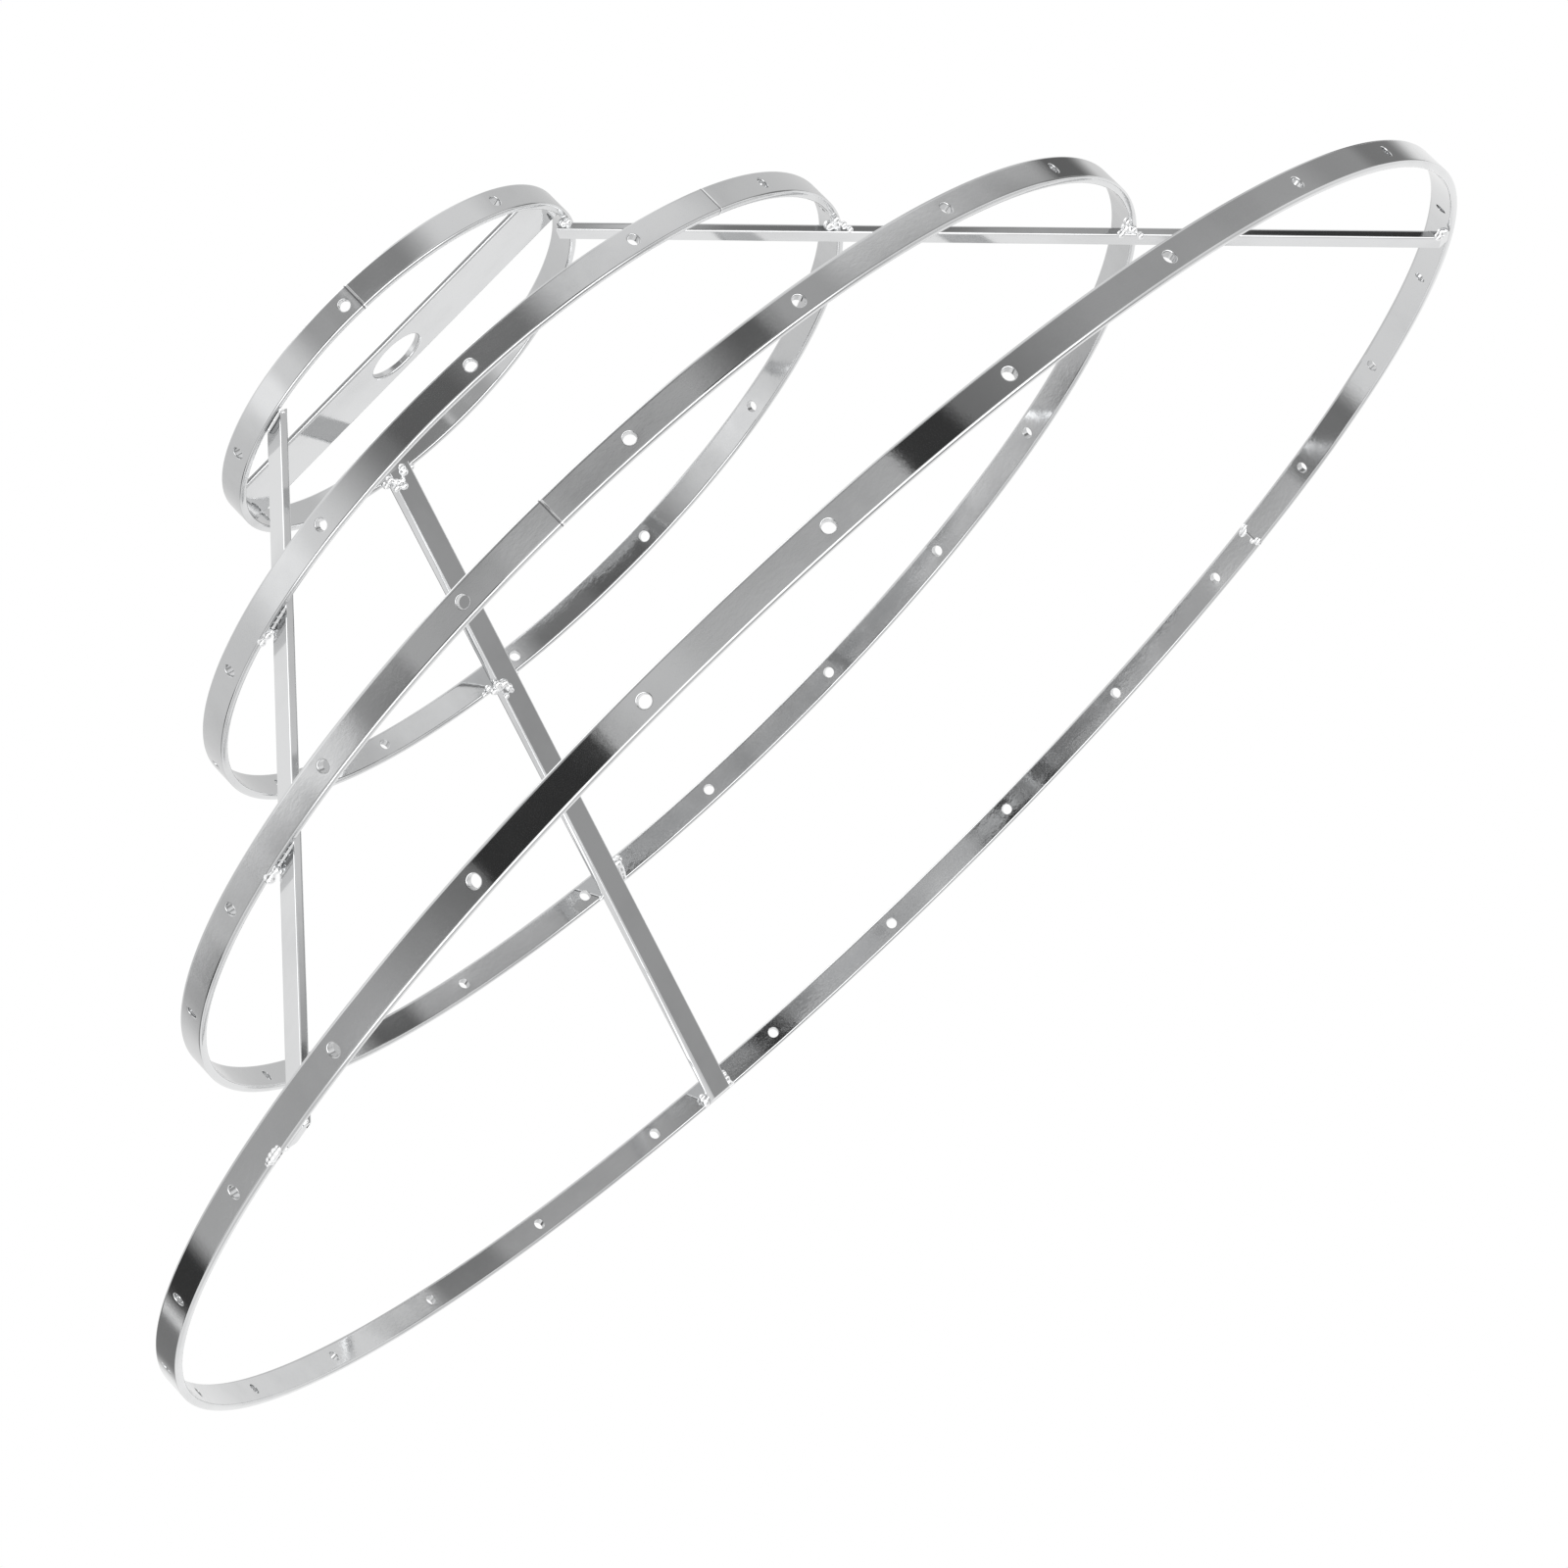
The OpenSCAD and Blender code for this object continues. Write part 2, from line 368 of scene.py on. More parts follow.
def rollTree():
    tree, given, result = newGroup(
        "rollStripToHoop",
        "GeometryNodeTree",
        [
            ("Blank", "NodeSocketGeometry", None),
            ("Count", "NodeSocketInt", 7),
            ("Pitch", "NodeSocketFloat", 0.03),
            ("Radius", "NodeSocketFloat", 0.05),
            ("Height", "NodeSocketFloat", 0.0),
            ("Start", "NodeSocketFloat", 0.0),
            ("Finish", "NodeSocketMaterial", None),
        ],
        [("Hoop", "NodeSocketGeometry")],
    )
    link = tree.links.new

    def maths(operation, first, second=None):
        node = addNode(tree, "ShaderNodeMath", {"operation": operation})
        for socket, value in zip(node.inputs, (first, second)):
            if value is None:
                continue
            if isinstance(value, (int, float)):
                socket.default_value = value
            else:
                link(value, socket)
        return node.outputs[0]

    step = addNode(tree, "ShaderNodeCombineXYZ")
    link(given.outputs["Pitch"], step.inputs["X"])
    line = addNode(tree, "GeometryNodeMeshLine")
    link(given.outputs["Count"], line.inputs["Count"])
    link(step.outputs[0], line.inputs["Offset"])
    copies = addNode(tree, "GeometryNodeInstanceOnPoints")
    link(line.outputs["Mesh"], copies.inputs["Points"])
    link(given.outputs["Blank"], copies.inputs["Instance"])
    real = addNode(tree, "GeometryNodeRealizeInstances")
    link(copies.outputs["Instances"], real.inputs["Geometry"])
    place = addNode(tree, "GeometryNodeInputPosition")
    parts = addNode(tree, "ShaderNodeSeparateXYZ")
    link(place.outputs[0], parts.inputs[0])
    turned = maths("DIVIDE", parts.outputs["X"], given.outputs["Radius"])
    angle = maths("ADD", turned, given.outputs["Start"])
    reach = maths("ADD", given.outputs["Radius"], parts.outputs["Y"])
    rolled = addNode(tree, "ShaderNodeCombineXYZ")
    link(maths("MULTIPLY", reach, maths("COSINE", angle)), rolled.inputs["X"])
    link(maths("MULTIPLY", reach, maths("SINE", angle)), rolled.inputs["Y"])
    link(maths("ADD", parts.outputs["Z"], given.outputs["Height"]), rolled.inputs["Z"])
    bend = addNode(tree, "GeometryNodeSetPosition")
    link(real.outputs["Geometry"], bend.inputs["Geometry"])
    link(rolled.outputs[0], bend.inputs["Position"])
    close = addNode(tree, "GeometryNodeMergeByDistance", {}, {"Distance": 0.000004})
    link(bend.outputs["Geometry"], close.inputs["Geometry"])
    smooth = addNode(tree, "GeometryNodeSetShadeSmooth")
    link(close.outputs["Geometry"], smooth.inputs["Geometry"])
    paint = addNode(tree, "GeometryNodeSetMaterial")
    link(smooth.outputs["Geometry"], paint.inputs["Geometry"])
    link(given.outputs["Finish"], paint.inputs["Material"])
    link(paint.outputs["Geometry"], result.inputs["Hoop"])
    return tree


def setInputs(modifier, values):
    for item in modifier.node_group.interface.items_tree:
        if item.item_type == "SOCKET" and item.in_out == "INPUT" and item.name in values:
            modifier[item.identifier] = values[item.name]


hoopTree = rollTree()
for tier, name in enumerate(tiers["names"]):
    middle = tiers["outerRadius"][tier] - tiers["stripThickness"] / 2
    count = punched["holes"][tier]
    pitch = 2 * math.pi * middle / count
    finish = chromeStrip if tier else chromeTightStrip
    blank = newObject("blank", punchedBlank(pitch, punched), finish)
    modifier = blank.modifiers.new("roll", "NODES")
    modifier.node_group = hoopTree
    setInputs(modifier, {
        "Count": count,
        "Pitch": pitch * mm,
        "Radius": middle * mm,
        "Height": (tiers["lowerEdge"][tier] + tiers["stripWidth"] / 2) * mm,
        "Start": math.radians(punched["firstHole"][tier]),
        "Finish": finish,
    })
    blank.update_tag()
    hoop = bakedPiece(blank, "rolled_" + name)
    standsFor(hoop, name)
    print("  ", name, len(hoop.data.polygons), "faces")
print("stage: hoops made")


# Struts: sheared flat strip, one long edge of each more worn away than the others
struts = {
    "width": tiers["stripWidth"],
    "thickness": tiers["stripThickness"],
    "top": 105.6,       # a strut ends at the smallest hoop's lower edge, in the weld
    "spare": 8.0,       # cut off at either end
    "steps": 60,
    "corner": 8,        # points round each worn edge
    "broad": 0.5,       # a worn edge wider than this is nearly flat
    "flattening": 1.75,
    "support": 0.08,    # distance of the points beside a worn edge
    "longSide": 0.5,    # sides of the outline longer than this get such points
    # the four long edges, outer left, inner left, inner right and outer right: how much of each
    # is worn off across the strip, and through it
    "edges": {
        "right": ((0.25, 0.25), (0.3, 0.3), (0.3, 0.3), (0.25, 0.25)),
        "rear": ((0.12, 0.08), (0.85, 1.26), (0.3, 0.3), (0.2, 0.2)),
        "front": ((0.2, 0.2), (0.3, 0.3), (0.45, 0.4), (0.16, 0.16)),
    },
}


def stripOutline(spec, edges):
    # Closed outline, x through the strip and outwards, y across it, with a support point beside
    # each worn edge. A small edge is round; a large one is nearly flat with rounded borders.
    outline = []
    for (sx, sy, start), (wide, deep) in zip(sectionCorners, edges):
        power = 1.0 if wide < spec["broad"] else spec["flattening"]
        for k in range(spec["corner"] + 1):
            turn = math.radians(start + 90 * k / spec["corner"])
            c, s = math.cos(turn), math.sin(turn)
            x = sx * (spec["thickness"] / 2 - deep) + deep * math.copysign(abs(c) ** power, c)
            y = sy * (spec["width"] / 2 - wide) + wide * math.copysign(abs(s) ** power, s)
            outline.append((x, y))
    full = []
    for k, (x, y) in enumerate(outline):
        full.append((x, y))
        nx, ny = outline[(k + 1) % len(outline)]
        length = math.hypot(nx - x, ny - y)
        if length > spec["longSide"]:
            beside = spec["support"] / length
            for f in (beside, 0.5, 1 - beside):
                full.append((x + (nx - x) * f, y + (ny - y) * f))
    return full


def strutMesh(angle, spec, edges):
    outline = stripOutline(spec, edges)
    length = tiers["lowerEdge"][0] / math.cos(strutLean) + 2 * spec["spare"]
    turn = Matrix.Rotation(math.radians(angle), 4, "Z")
    verts, faces = [], []
    n = len(outline)
    for i in range(spec["steps"] + 1):
        s = -spec["spare"] + length * i / spec["steps"]
        for x, y in outline:
            x -= spec["thickness"] / 2
            # leaning: the outer face touches the hoops' inner walls
            px = tiers["bottomSeat"] + x * math.cos(strutLean) - s * math.sin(strutLean)
            pz = x * math.sin(strutLean) + s * math.cos(strutLean)
            verts.append(turn @ Vector((px, y, pz)))
    for i in range(spec["steps"]):
        for j in range(n):
            k = i * n
            faces.append((k + j, k + (j + 1) % n, k + n + (j + 1) % n, k + n + j))
    faces.append(tuple(range(n)))
    faces.append(tuple(range(spec["steps"] * n, (spec["steps"] + 1) * n)))
    mesh = meshFrom("strut", verts, faces, 0.0005)
    work = bmesh.new()
    work.from_mesh(mesh)
    for height, normal in ((0.0, (0, 0, -1)), (spec["top"], (0, 0, 1))):
        cut = bmesh.ops.bisect_plane(
            work, geom=work.verts[:] + work.edges[:] + work.faces[:],
            plane_co=(0, 0, height * mm), plane_no=normal, clear_outer=True,
        )
        rim = [e for e in cut["geom_cut"] if isinstance(e, bmesh.types.BMEdge)]
        bmesh.ops.contextual_create(work, geom=rim)
    bmesh.ops.recalc_face_normals(work, faces=work.faces)
    work.to_mesh(mesh)
    work.free()
    crispEdges(mesh)
    return mesh


for side, angle in strutAngles.items():
    mesh = strutMesh(angle, struts, struts["edges"][side])
    strut = newObject(side + "_flat_strut", mesh, chromeBar)
    standsFor(strut, side + "_strut")
print("stage: struts made")


# Crossbar: flat plate with broken edges and the hole for the lamp's nipple
crossbar = {
    "length": 70.565,
    "width": 15.0,
    "thickness": 1.2,
    "underside": 109.3,
    "holeRadius": 5.1,
    "edgeRadius": 0.5,
    "rollOver": 0.35,
    "burrRound": 0.12,
    "dimple": 0.01,
    "patch": 6.6,
    "patchFaces": 14,
    "step": 3.0,
}


def crossbarMesh(spec):
    mesh = punchedBlank(spec["length"], spec)
    work = bmesh.new()
    work.from_mesh(mesh)
    for vert in work.verts:
        x, y, z = vert.co
        vert.co = (x, z, (spec["underside"] + spec["thickness"] / 2) * mm - y)
    rims = [edge for edge in work.edges if edge.is_boundary]
    bmesh.ops.holes_fill(work, edges=rims, sides=0)
    bmesh.ops.recalc_face_normals(work, faces=work.faces)
    work.to_mesh(mesh)
    work.free()
    crispEdges(mesh)
    return mesh


standsFor(newObject("crossbar_plate", crossbarMesh(crossbar), chromeBar), "crossbar")
print("stage: crossbar made")


# Butt joints: where the two ends of a hoop meet, a scorched line and beside it a raised bead.
# Both are given as places along the strip and how far they stand proud of it.
seams = {
    "angles": [276.3, 322.0, 273.5, 51.7],
    "scorched": [(-0.30, -0.03), (-0.24, 0.008), (-0.06, 0.01), (0.0, -0.005)],
    "raised": [(0.08, 0.025), (0.26, 0.03), (0.38, -0.03)],
    "brightFrom": 0.02,    # where the scorched line ends
    "corner": 5,
    "edgeRadius": punched["edgeRadius"],
    # lumps left on the inside of the largest hoop: along the strip, up from its lower edge,
    # half length, half height and how far it stands proud
    "lumps": {
        "bottom_hoop": [
            (-0.3, 0.7, 0.9, 0.65, 0.45), (0.5, 1.5, 0.6, 0.5, 0.35), (-0.4, 4.35, 0.9, 0.6, 0.45),
            (0.6, 3.9, 1.1, 0.7, 0.3),
        ],
    },
    "lumpFrom": 0.05,      # what stands this far inside the hoop is a lump
}


def seamMesh(tier, spec):
    start = math.radians(spec["angles"][tier])
    inside = tiers["outerRadius"][tier] - tiers["stripThickness"]
    middle = tiers["outerRadius"][tier] - tiers["stripThickness"] / 2
    level = tiers["lowerEdge"][tier] + tiers["stripWidth"] / 2
    columns = spec["scorched"] + spec["raised"]
    r = spec["edgeRadius"]
    verts, faces = [], []
    for along, proud in columns:
        t, w = tiers["stripThickness"] / 2 + proud, tiers["stripWidth"] / 2 + proud
        loop = []
        for sx, sz, turn in sectionCorners:
            for k in range(spec["corner"] + 1):
                a = math.radians(turn + 90 * k / spec["corner"])
                loop.append((sx * (t - r) + r * math.cos(a), sz * (w - r) + r * math.sin(a)))
        b = start + along / middle
        for x, z in loop:
            reach, height = middle + x, max(level + z, 0.0)
            verts.append((reach * math.cos(b), reach * math.sin(b), height))
    n = len(loop)
    for i in range(len(columns) - 1):
        for j in range(n):
            k = (j + 1) % n
            faces.append((i * n + j, i * n + k, (i + 1) * n + k, (i + 1) * n + j))
    faces.append(tuple(range(n)))
    faces.append(tuple(range((len(columns) - 1) * n, len(columns) * n)))
    mesh = meshFrom("seam", verts, faces, 0.0005)
    work = bmesh.new()
    work.from_mesh(mesh)
    for along, up, half, tall, proud in spec["lumps"].get(tiers["names"][tier], []):
        b = start + along / inside
        place = Vector((inside * math.cos(b), inside * math.sin(b), up)) * mm
        size = Matrix.Diagonal((proud * mm, half * mm, tall * mm, 1))
        shape = Matrix.Translation(place) @ Matrix.Rotation(b, 4, "Z") @ size
        bmesh.ops.create_icosphere(work, subdivisions=3, radius=1.0, matrix=shape)
    work.to_mesh(mesh)
    work.free()
    mesh.materials.append(dullSeam)
    # the second finish, for the bead and the lumps, is the weld chrome lightened as a painted
    # highlight
    mesh.materials.append(weldChromePaintedBright)
    for face in mesh.polygons:
        spot = face.center
        along = (math.atan2(spot.y, spot.x) - start + math.pi) % (2 * math.pi) - math.pi
        lump = math.hypot(spot.x, spot.y) < (inside - spec["lumpFrom"]) * mm
        face.material_index = 1 if lump or along * middle > spec["brightFrom"] else 0
    mesh.shade_smooth()
    return mesh


for tier, hoop in enumerate(tiers["names"]):
    joint = newObject(hoop + "_butt_joint", seamMesh(tier, seams))
    standsFor(joint, hoop + "_seam")
print("stage: butt joints made")


# Weld metal: drops run together where a strut crosses a hoop. Each drop has its place across the
# strut, inwards from the strut's outer face and up along the strut, from where the face crosses
# the hoop's lower edge, and its radius, in millimetres.
weldMetal = {
    "voxel": 0.12,
    "settle": 16,          # rounds of smoothing
    "ripple": 0.015,
    "rippleSize": 1.2,
    "fineRipple": (0.5, 2.3),   # of the ripple's height, and how much closer together
    "drops": {
        ("top_hoop", "right"): [
            (-2.7, 0.2, 0.4, 0.75), (-2.9, 0.0, -0.5, 0.7), (2.7, 0.1, 0.1, 0.8),
        ],
        ("second_hoop", "right"): [
            (-2.7, 0.15, 1.0, 0.9), (-3.9, -0.5, -0.2, 0.8), (-2.8, 0.1, -1.5, 0.65),
            (-2.6, 0.8, -2.6, 0.6), (-2.8, -0.1, -0.2, 0.8), (2.8, 0.0, -0.2, 0.7),
        ],
        ("third_hoop", "right"): [
            (-2.6, 1.2, 1.7, 0.7), (-2.8, 0.1, 0.8, 0.95), (-4.0, -0.6, 0.6, 0.75),
            (-2.4, 1.3, -1.5, 0.7), (-2.8, 0.4, -0.3, 0.75), (2.8, 0.0, -0.2, 0.7),
        ],
        ("bottom_hoop", "right"): [
            (-2.6, 1.1, 1.9, 0.7), (-2.7, 0.2, 0.9, 0.7), (-2.9, 0.3, 1.5, 0.6),
            (2.8, 0.2, 1.2, 0.7),
        ],
        ("top_hoop", "rear"): [
            (2.3, 1.1, 0.5, 0.8), (-0.7, 1.45, 0.3, 0.85), (-0.8, 1.45, 1.2, 0.7),
            (0.5, 1.45, -1.9, 0.85), (1.9, 1.35, -1.4, 0.85), (2.9, 0.2, -0.4, 0.8),
            (-2.9, 0.2, -0.3, 0.7), (1.4, 1.0, -0.4, 0.7), (0.2, 1.1, -0.9, 0.7),
        ],
        ("second_hoop", "rear"): [
            (2.1, 1.4, 1.1, 0.75), (0.9, 1.5, 0.4, 0.85), (0.4, 1.45, -0.8, 0.8),
            (0.2, 1.4, -1.7, 0.6), (1.6, 1.35, -2.0, 0.65), (3.6, 0.2, 0.9, 0.65),
            (2.8, 0.3, -0.3, 0.85), (1.8, 1.0, 0.1, 0.9), (4.8, 0.1, 0.3, 0.5),
            (-2.8, 0.0, -0.2, 0.6),
        ],
        ("third_hoop", "rear"): [
            (-3.0, 0.4, 4.3, 1.15), (-4.2, -0.6, 4.1, 0.8), (-3.3, -0.1, 3.4, 1.05),
            (-3.2, -0.2, 2.5, 1.15), (-3.1, -0.3, 1.6, 1.1), (-2.9, -0.2, 0.7, 1.0),
            (-3.1, -1.5, 3.1, 1.0), (-3.1, -1.2, 2.2, 1.0), (2.8, -0.1, 0.1, 0.5),
        ],
        ("bottom_hoop", "rear"): [
            (-3.0, -0.1, 1.0, 0.9), (-3.1, -0.4, 2.0, 0.9), (-3.3, -0.8, 3.0, 0.7),
            (3.0, -0.2, 1.0, 0.8), (3.1, -0.5, 2.0, 0.8), (-3.4, -0.1, 0.4, 0.8),
            (3.2, -0.1, 0.5, 0.7),
        ],
        ("top_hoop", "front"): [(-2.2, 0.5, 0.3, 0.6), (0.0, 0.5, 0.3, 0.6), (2.2, 0.5, 0.3, 0.6)],
        ("second_hoop", "front"): [
            (-3.6, -0.43, -0.56, 0.75), (-5.3, -0.6, -0.6, 0.75), (-4.4, -0.5, -0.6, 0.5),
            (-2.6, -0.1, -0.5, 0.5), (-1.3, 0.2, -0.2, 0.4), (0.0, 0.2, -0.2, 0.4),
            (1.3, 0.2, -0.2, 0.35),
        ],
        ("third_hoop", "front"): [
            (-4.9, -0.43, -0.6, 1.0), (-2.9, -0.3, -0.6, 0.75), (-3.8, -0.4, -0.5, 0.65),
            (-1.5, 0.2, -0.2, 0.4), (0.0, 0.2, -0.2, 0.4), (1.4, 0.2, -0.2, 0.35),
        ],
        ("bottom_hoop", "front"): [
            (-6.2, -1.15, -0.2, 0.5), (-5.3, -1.15, -0.2, 0.75), (-4.3, -1.15, -0.2, 0.85),
            (-3.3, -1.15, -0.2, 0.85), (-2.3, -1.15, -0.2, 0.7), (-1.5, -1.1, -0.2, 0.5),
            (-3.0, 0.1, 0.6, 0.6), (3.0, 0.1, 0.6, 0.6), (1.5, 1.4, 1.4, 0.5),
        ],
    },
}


def weldPiece(tier, side, spec):
    hoop = tiers["names"][tier]
    low = tiers["lowerEdge"][tier]
    along, up = math.radians(strutAngles[side]), Vector((0, 0, 1))
    outward = Vector((math.cos(along), math.sin(along), 0))
    across = Vector((-math.sin(along), math.cos(along), 0))
    inward = -math.cos(strutLean) * outward - math.sin(strutLean) * up
    upStrut = -math.sin(strutLean) * outward + math.cos(strutLean) * up
    start = outward * (tiers["bottomSeat"] - low * math.tan(strutLean)) + up * low
    work = bmesh.new()
    for u, d, s, radius in spec["drops"][hoop, side]:
        spot = Matrix.Translation((start + across * u + inward * d + upStrut * s) * mm)
        bmesh.ops.create_icosphere(work, subdivisions=3, radius=radius * mm, matrix=spot)
    mesh = bpy.data.meshes.new("drops")
    work.to_mesh(mesh)
    work.free()
    # weld chrome, its colour raised as a painted highlight
    piece = newObject("drops", mesh, weldChromePaintedBright)
    merge = piece.modifiers.new("run together", "REMESH")
    merge.mode = "VOXEL"
    merge.voxel_size = spec["voxel"] * mm
    merge.use_smooth_shade = True
    settle = piece.modifiers.new("settle", "SMOOTH")
    settle.factor = 0.5
    settle.iterations = spec["settle"]
    piece = bakedPiece(piece, "_".join((hoop, side, "weld_metal")))
    share, closer = spec["fineRipple"]
    for vert in piece.data.vertices:
        point = vert.co / mm / spec["rippleSize"]
        push = noise.noise(point) + share * noise.noise(point * closer)
        vert.co += vert.normal * push * spec["ripple"] * mm
        vert.co.z = max(vert.co.z, 0.0)   # ground level with the largest hoop's lower edge
    piece.data.shade_smooth()
    standsFor(piece, "_".join((hoop, side, "weld")))
    return len(piece.data.polygons)


for tier, hoop in enumerate(tiers["names"]):
    for side in strutAngles:
        count = weldPiece(tier, side, weldMetal)
        print("  ", hoop, side, "weld", count, "faces")
print("stage: weld metal made")


# Solids that stay as they are
for name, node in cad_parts.items():
    # welds take the weld chrome, lightened as a painted highlight; the rest take the flat bar's
    # chrome
    finish = weldChromePaintedBright if name.endswith("weld") else chromeBar
    for slot in node.material_slots:
        slot.material = finish
print("stage: solids dressed")


# Camera, white room and the cards that the plating mirrors
camera = {
    "place": (0.035909, -0.611394, -0.112776),
    "right": (0.706816, 0.182932, -0.683336),
    "up": (0.704590, -0.096071, 0.703082),
    "back": (0.062967, -0.978420, -0.196797),
    "lens": 87.7,
    "sensor": 36.0,
}


def cameraSetup(spec):
    data = bpy.data.cameras.new("camera")
    data.lens = spec["lens"]
    data.sensor_width = spec["sensor"]
    eye = bpy.data.objects.new("camera", data)
    bpy.context.scene.collection.objects.link(eye)
    turn = Matrix([Vector(spec[axis]) for axis in ("right", "up", "back")]).transposed().to_4x4()
    eye.matrix_world = Matrix.Translation(Vector(spec["place"])) @ turn
    bpy.context.scene.camera = eye


studio = {
    "floorHeight": -0.34,
    "floorHalf": 8.0,           # half the floor's width
    "floorColour": 0.80,
    "floorRoughness": 0.9,
    "floorFade": (0.5, 0.85),   # metres from the middle where the floor turns white
}


def seenDirectly(tree):
    # 1 for rays of the camera, of gloss and of glass, 0 for light that falls on surfaces
    path = addNode(tree, "ShaderNodeLightPath")
    seen = path.outputs["Is Camera Ray"]
    for kind in ("Is Glossy Ray", "Is Transmission Ray"):
        either = addNode(tree, "ShaderNodeMath", {"operation": "MAXIMUM"})
        tree.links.new(seen, either.inputs[0])
        tree.links.new(path.outputs[kind], either.inputs[1])
        seen = either.outputs[0]
    return seen


def worldSetup():
    world = bpy.data.worlds.new("white room")
    bpy.context.scene.world = world
    world.use_nodes = True
    field = world.node_tree.nodes["Background"]
    field.inputs["Color"].default_value = (1, 1, 1, 1)
    field.inputs["Strength"].default_value = 1.0


def floorSetup(spec):
    mesh = bpy.data.meshes.new("floor")
    work = bmesh.new()
    bmesh.ops.create_grid(work, x_segments=2, y_segments=2, size=spec["floorHalf"])
    for vert in work.verts:
        vert.co.z = spec["floorHeight"]
    work.to_mesh(mesh)
    work.free()
    material = bpy.data.materials.new("pale floor")
    material.use_nodes = True
    tree = material.node_tree
    shader = tree.nodes["Principled BSDF"]
    shader.inputs["Base Color"].default_value = (spec["floorColour"],) * 3 + (1,)
    shader.inputs["Roughness"].default_value = spec["floorRoughness"]
    place = addNode(tree, "ShaderNodeTexCoord").outputs["Object"]
    fade = addNode(tree, "ShaderNodeMapRange", {"interpolation_type": "SMOOTHSTEP"})
    fade.inputs["From Min"].default_value, fade.inputs["From Max"].default_value = spec["floorFade"]
    white = addNode(tree, "ShaderNodeEmission")
    both = addNode(tree, "ShaderNodeMath", {"operation": "MULTIPLY"})
    mix = addNode(tree, "ShaderNodeMixShader")
    tree.links.new(distanceFromAxis(tree, place), fade.inputs["Value"])
    tree.links.new(fade.outputs["Result"], both.inputs[0])
    tree.links.new(seenDirectly(tree), both.inputs[1])
    tree.links.new(both.outputs[0], mix.inputs["Fac"])
    tree.links.new(shader.outputs[0], mix.inputs[1])
    tree.links.new(white.outputs[0], mix.inputs[2])
    tree.links.new(mix.outputs[0], tree.nodes["Material Output"].inputs["Surface"])
    newObject("floor", mesh, material)


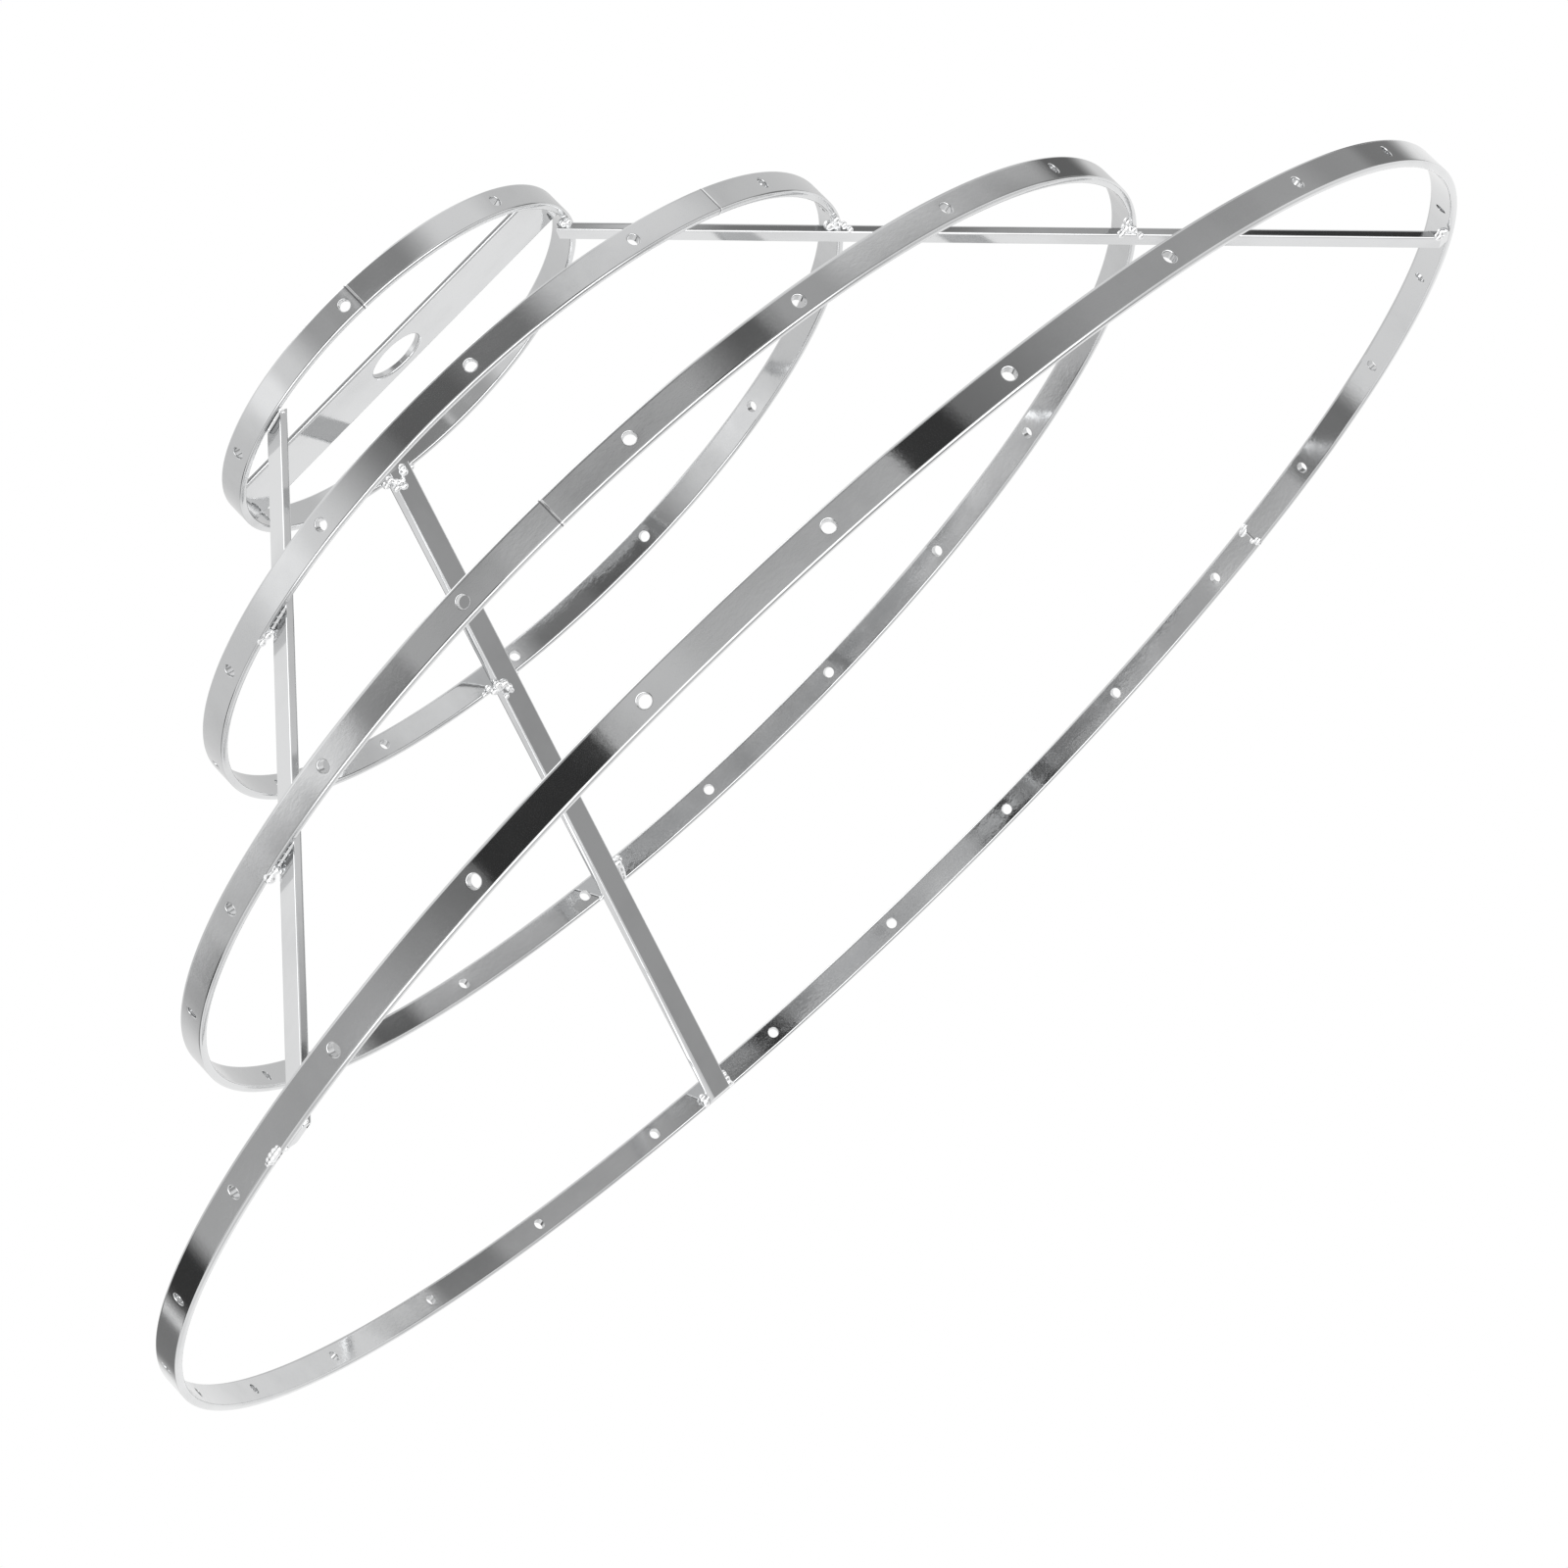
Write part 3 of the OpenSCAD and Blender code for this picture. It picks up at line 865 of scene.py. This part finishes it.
# Upright curved cards round the object. Each has the compass angles it runs between, its foot
# and head, how bright it is, how far it fades at its start, end, foot and head, and how far it
# stands from the middle. Angles in degrees, lengths in metres.
cards = {
    "backSweep": (5, 175, -0.33, 0.06, 1.04, (12, 12, 0.01, 0.08), 1.05),
    "roomWall": (-179, 179, 0.0, 1.0, 0.92, (0.1, 0.1, 0.06, 0.1), 1.20),
    "wallFootLeft": (150.6, 258, 0.02, 0.149, 0.537, (8.7, 3, 0.03, 0.067), 0.81),
    "wallFootMiddle": (254, 312, 0.02, 0.186, 0.562, (3, 3, 0.03, 0.057), 0.796),
    "wallFootRight": (308, 399.7, 0.02, 0.18, 0.455, (3, 8.2, 0.03, 0.059), 0.80),
    "wallMidLeft": (152.2, 233.3, 0.113, 0.264, 0.515, (12.8, 4.5, 0.038, 0.073), 0.757),
    "wallMidMiddle": (227.8, 315.3, 0.136, 0.293, 0.529, (2.7, 2.8, 0.039, 0.048), 0.802),
    "wallMidRight": (310.4, 400.3, 0.124, 0.279, 0.464, (3.5, 7.2, 0.037, 0.062), 0.804),
    "brightLeft": (190.9, 227, 0.232, 0.80, 1.18, (16.9, 12.7, 0.046, 0.04), 0.888),
    "leftStand": (154, 177, 0.02, 0.20, 0.047, (6.9, 7, 0.03, 0.033), 0.613),
    "leftGrey": (141, 167.7, 0.02, 0.123, 0.23, (11, 3.3, 0.03, 0.044), 0.311),
    "leftLegShade": (221, 243.8, 0.02, 0.163, 0.223, (22, 3, 0.03, 0.035), 0.448),
    "leftLeg": (237.8, 262, 0.02, 0.17, 0.041, (4.2, 1.9, 0.03, 0.04), 0.607),
    "rightLeg": (302.2, 312.5, 0.02, 0.167, 0.05, (1.4, 2.7, 0.03, 0.04), 0.518),
    "rightLegShade": (309, 337.6, 0.02, 0.17, 0.216, (2.4, 26.8, 0.03, 0.04), 0.577),
    "middleBright": (260.8, 276.7, 0.02, 0.257, 0.72, (4.8, 6.3, 0.03, 0.04), 0.79),
    "leftLegTop": (224.2, 238.9, 0.16, 0.25, 0.46, (6.2, 5.4, 0.03, 0.03), 0.654),
    "rightLegTop": (301.3, 323.9, 0.16, 0.25, 0.15, (13.2, 6.6, 0.03, 0.03), 0.619),
    "rightShelf": (319.4, 339.7, 0.16, 0.25, 0.484, (2.9, 8.1, 0.03, 0.03), 0.676),
    "lintelShade": (256, 285, 0.262, 0.35, 0.15, (5, 8, 0.02, 0.03), 0.76),
    "lintel": (227.3, 318.4, 0.236, 0.355, 0.23, (31, 17.4, 0.03, 0.027), 0.765),
    "headLeft": (233.2, 280.8, 0.30, 0.55, 0.50, (19.6, 10, 0.03, 0.05), 0.638),
    "headMiddle": (261.2, 276.2, 0.30, 0.55, 0.47, (4.5, 6.2, 0.03, 0.05), 0.637),
    "headRight": (274.7, 338.5, 0.30, 0.55, 0.334, (5.8, 31.3, 0.03, 0.05), 0.634),
    "farRightFoot": (15, 38, 0.0, 0.066, 0.24, (5, 10, 0.01, 0.01), 0.30),
    "farRightMiddle": (17, 35.5, 0.058, 0.098, 0.27, (5, 2, 0.01, 0.012), 0.298),
    "farRightHead": (20, 49, 0.088, 0.146, 0.155, (8, 12, 0.012, 0.028), 0.302),
    "rightGap": (24, 42, 0.138, 0.20, 0.85, (1.5, 6, 0.008, 0.012), 0.79),
    "farRightWide": (46.7, 54.1, 0.02, 0.20, 0.555, (11, 15.3, 0.03, 0.03), 0.718),
    "farLeftMid": (139.2, 163.3, 0.14, 0.25, 0.612, (11.1, 8.2, 0.03, 0.03), 0.696),
    "backRight": (-2.9, 101.2, 0.20, 0.90, 0.727, (20.3, 9.2, 0.05, 0.04), 0.862),
    "backLeft": (90.5, 193.1, 0.20, 0.90, 0.801, (8.2, 14.7, 0.05, 0.04), 0.966),
    "rightFootEdge": (8, 31.4, 0.02, 0.168, 0.371, (8.6, 4.5, 0.03, 0.06), 0.44),
    "leftInner": (197.9, 217.5, 0.02, 0.166, 0.521, (4.6, 4.7, 0.03, 0.032), 0.475),
}
cardFacet = 4        # degrees of arc to one face of a card
leastFade = 0.002    # share of a card, so that no fade is a hard step


def glowMaterial(name, level):
    # White glow, which shows as far as the returned input says, from 0 to 1
    material = bpy.data.materials.new(name)
    material.use_nodes = True
    tree = material.node_tree
    tree.nodes.clear()
    out = addNode(tree, "ShaderNodeOutputMaterial")
    glow = addNode(tree, "ShaderNodeEmission", {}, {"Color": (1, 1, 1, 1), "Strength": level})
    clear = addNode(tree, "ShaderNodeBsdfTransparent")
    mix = addNode(tree, "ShaderNodeMixShader")
    tree.links.new(clear.outputs[0], mix.inputs[1])
    tree.links.new(glow.outputs[0], mix.inputs[2])
    tree.links.new(mix.outputs[0], out.inputs["Surface"])
    return material, mix.inputs["Fac"]


def cardFinish(name, level, soft):
    # Glow that fades out towards the four edges of the card
    material, shown = glowMaterial(name, level)
    tree = material.node_tree
    place = addNode(tree, "ShaderNodeTexCoord")
    split = addNode(tree, "ShaderNodeSeparateXYZ")
    tree.links.new(place.outputs["UV"], split.inputs[0])
    cover = None
    for k, width in enumerate(soft):
        ramp = addNode(tree, "ShaderNodeMapRange", {"interpolation_type": "SMOOTHSTEP"})
        ramp.inputs["From Min"].default_value = k % 2
        ramp.inputs["From Max"].default_value = 1.0 - width if k % 2 else width
        tree.links.new(split.outputs[k // 2], ramp.inputs["Value"])
        if cover is None:
            cover = ramp.outputs["Result"]
            continue
        both = addNode(tree, "ShaderNodeMath", {"operation": "MULTIPLY"})
        tree.links.new(cover, both.inputs[0])
        tree.links.new(ramp.outputs["Result"], both.inputs[1])
        cover = both.outputs[0]
    tree.links.new(cover, shown)
    return material


def arcStrip(name, start, end, steps, borders):
    # Strip along an arc, between two borders given by radius and height, with UVs from 0 to 1
    verts, faces = [], []
    for i in range(steps + 1):
        b = math.radians(start + (end - start) * i / steps)
        for radius, z in borders:
            verts.append((radius * math.cos(b), radius * math.sin(b), z))
    for i in range(steps):
        faces.append((2 * i, 2 * i + 1, 2 * i + 3, 2 * i + 2))
    mesh = bpy.data.meshes.new(name)
    mesh.from_pydata(verts, [], faces)
    layer = mesh.uv_layers.new(name="UVMap")
    for loop in mesh.loops:
        i = loop.vertex_index
        layer.data[loop.index].uv = ((i // 2) / steps, i % 2)
    return mesh


def seenByGlossOnly(piece):
    for kind in ("camera", "diffuse", "shadow", "transmission"):
        setattr(piece, "visible_" + kind, False)


def cardSetup(name, start, end, foot, head, level, fade, radius):
    steps = max(6, round((end - start) / cardFacet))
    mesh = arcStrip(name, start, end, steps, ((radius, foot), (radius, head)))
    wide, tall = end - start, head - foot
    soft = [max(leastFade, width / span) for width, span in zip(fade, (wide, wide, tall, tall))]
    piece = newObject(name, mesh, cardFinish(name + " card", level, soft))
    seenByGlossOnly(piece)


# Flat cards that lie level: middle, radius, how bright, how far the rim fades
levelCards = {
    "overhead": ((0.0, 0.0, 1.05), 0.34, 2.6, 0.10),
    "underneath": ((0.17, 0.02, -0.325), 0.20, 0.44, 0.06),
}
# Level card in the shape of a bow: middle's height, inner and outer radius, compass angles, how
# bright, and how far its borders fade, in metres and degrees
bowCard = {
    "height": -0.328, "inner": 0.38, "outer": 1.25, "angles": (200, 345), "steps": 36,
    "level": 3.0, "soft": (0.1, 15),
}


def levelCardSetup(name, middle, radius, level, soft):
    mesh = bpy.data.meshes.new(name)
    work = bmesh.new()
    place = Matrix.Translation(middle)
    bmesh.ops.create_circle(work, cap_ends=True, segments=48, radius=radius, matrix=place)
    layer = work.loops.layers.uv.new("UVMap")
    for face in work.faces:
        for loop in face.loops:
            x, y, z = loop.vert.co
            loop[layer].uv = ((x - middle[0]) / radius, (y - middle[1]) / radius)
    work.to_mesh(mesh)
    work.free()
    material, shown = glowMaterial(name + " card", level)
    tree = material.node_tree
    place = addNode(tree, "ShaderNodeTexCoord")
    reach = addNode(tree, "ShaderNodeVectorMath", {"operation": "LENGTH"})
    fade = addNode(tree, "ShaderNodeMapRange", {"interpolation_type": "SMOOTHSTEP"})
    rim = 0.99   # just inside the edge
    fade.inputs["From Min"].default_value = rim
    fade.inputs["From Max"].default_value = rim - soft / radius
    tree.links.new(place.outputs["UV"], reach.inputs[0])
    tree.links.new(reach.outputs["Value"], fade.inputs["Value"])
    tree.links.new(fade.outputs["Result"], shown)
    piece = newObject(name, mesh, material)
    seenByGlossOnly(piece)


def bowCardSetup(spec):
    start, end = spec["angles"]
    inner, outer = spec["inner"], spec["outer"]
    borders = ((inner, spec["height"]), (outer, spec["height"]))
    mesh = arcStrip("bow", start, end, spec["steps"], borders)
    deep, wide = spec["soft"][0] / (outer - inner), spec["soft"][1] / (end - start)
    piece = newObject("bow", mesh, cardFinish("bow card", spec["level"], (wide, wide, deep, deep)))
    seenByGlossOnly(piece)


cameraSetup(camera)
worldSetup()
floorSetup(studio)
for name, values in cards.items():
    cardSetup(name, *values)
for name, values in levelCards.items():
    levelCardSetup(name, *values)
bowCardSetup(bowCard)
print("stage: studio made")

view = bpy.context.scene.view_settings
view.view_transform = "Standard"
